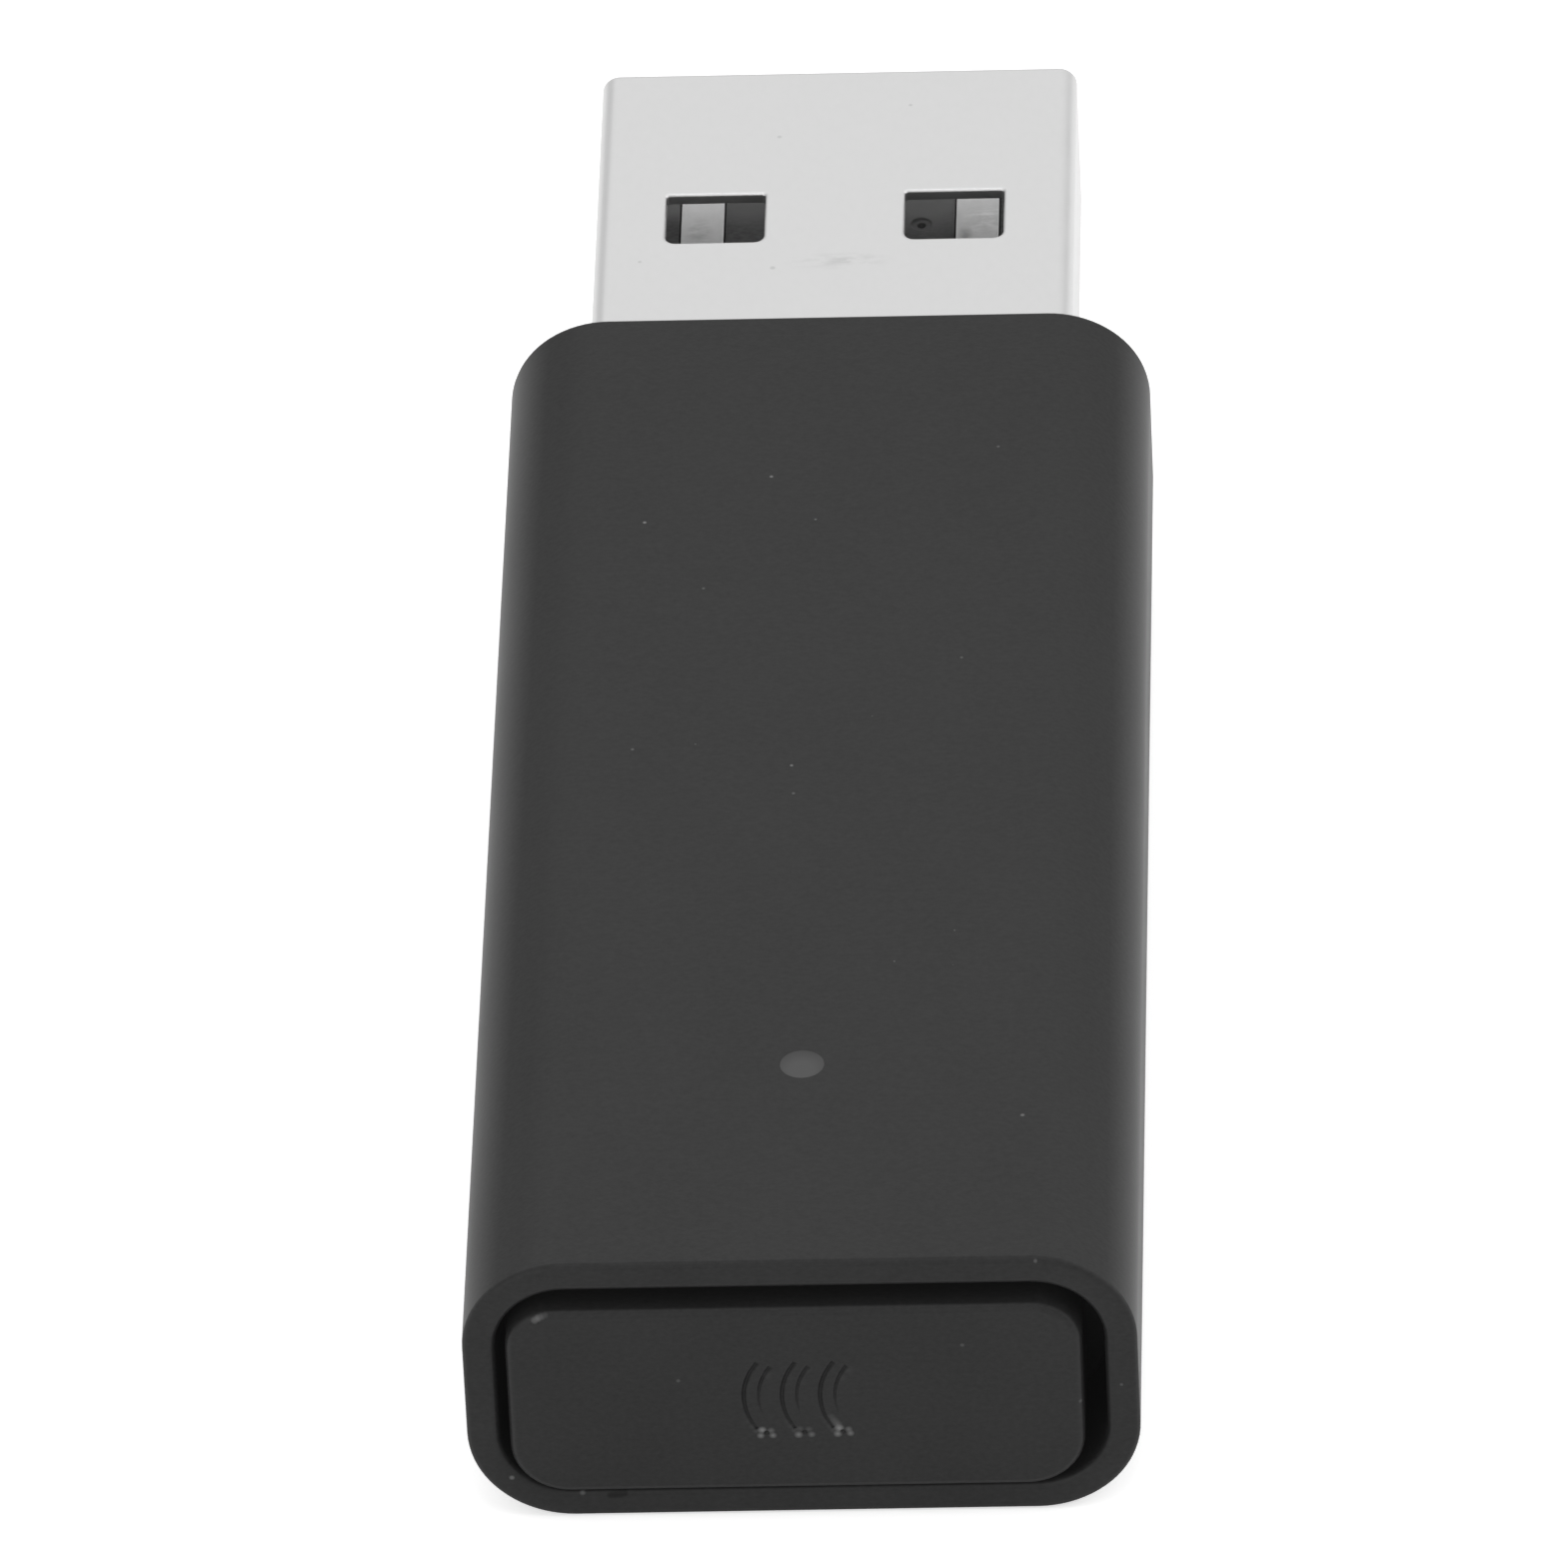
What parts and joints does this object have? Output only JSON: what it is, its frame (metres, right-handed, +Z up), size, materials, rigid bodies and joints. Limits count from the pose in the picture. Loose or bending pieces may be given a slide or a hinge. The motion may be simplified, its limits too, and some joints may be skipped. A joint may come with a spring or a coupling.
{
  "type": "wireless controller adapter",
  "caption": "Stick-shaped wireless adapter with a USB-A plug at one end, a round indicator window on top and a sprung pairing button filling the other end.",
  "frame": {"origin": "bottom centre of the whole adapter, on the surface that it rests on", "axes": "+X across the width, +Y along the length from the button towards the plug's tip, +Z up through the face with the light window"},
  "size_m": [0.016, 0.051, 0.0076],
  "materials": {
    "housing_plastic": "satin black moulding with a fine grain",
    "button_plastic": "satin black moulding",
    "light_pipe_plastic": "milky translucent moulding",
    "frame_plastic": "black moulding",
    "plug_steel": "satin nickel-plated sheet",
    "insulator_plastic": "dark moulding",
    "contact_metal": "plated spring strip",
    "board_laminate": "solder mask",
    "shield_metal": "tinned sheet",
    "chip_plastic": "moulded chip package",
    "crystal_metal": "plated can",
    "ceramic_part": "fired ceramic",
    "resistor_body": "coated ceramic",
    "inductor_core": "pressed powder",
    "antenna_metal": "plated strip",
    "lamp_resin": "clear resin",
    "switch_plastic": "moulded switch body",
    "switch_metal": "stamped cover",
    "plunger_plastic": "white moulding"
  },
  "bodies": {
    "housing": {"housing_sleeve": "housing_plastic", "light_pipe": "light_pipe_plastic", "end_frame": "frame_plastic", "plug_shell": "plug_steel", "plug_insulator": "insulator_plastic", "contact_power": "contact_metal", "contact_data_minus": "contact_metal", "contact_data_plus": "contact_metal", "contact_ground": "contact_metal", "circuit_board": "board_laminate", "shield_frame": "shield_metal", "shield_cover": "shield_metal", "radio_chip": "chip_plastic", "flash_memory": "chip_plastic", "crystal_can": "crystal_metal", "voltage_regulator": "chip_plastic", "power_inductor": "inductor_core", "surge_protector": "chip_plastic", "chip_capacitors": "ceramic_part", "chip_resistors": "resistor_body", "antenna_left": "antenna_metal", "antenna_right": "antenna_metal", "status_led": "lamp_resin", "switch_body": "switch_plastic", "switch_cover": "switch_metal"},
    "button": {"pairing_button": "button_plastic", "switch_plunger": "plunger_plastic"}
  },
  "joints": [
    {"name": "button_press", "type": "slide", "parent": "housing", "child": "button", "axis": [0, 1, 0], "range_m": [0, 0.0003], "stiffness_N_per_m": 1000, "springref_m": -0.0003}
  ]
}
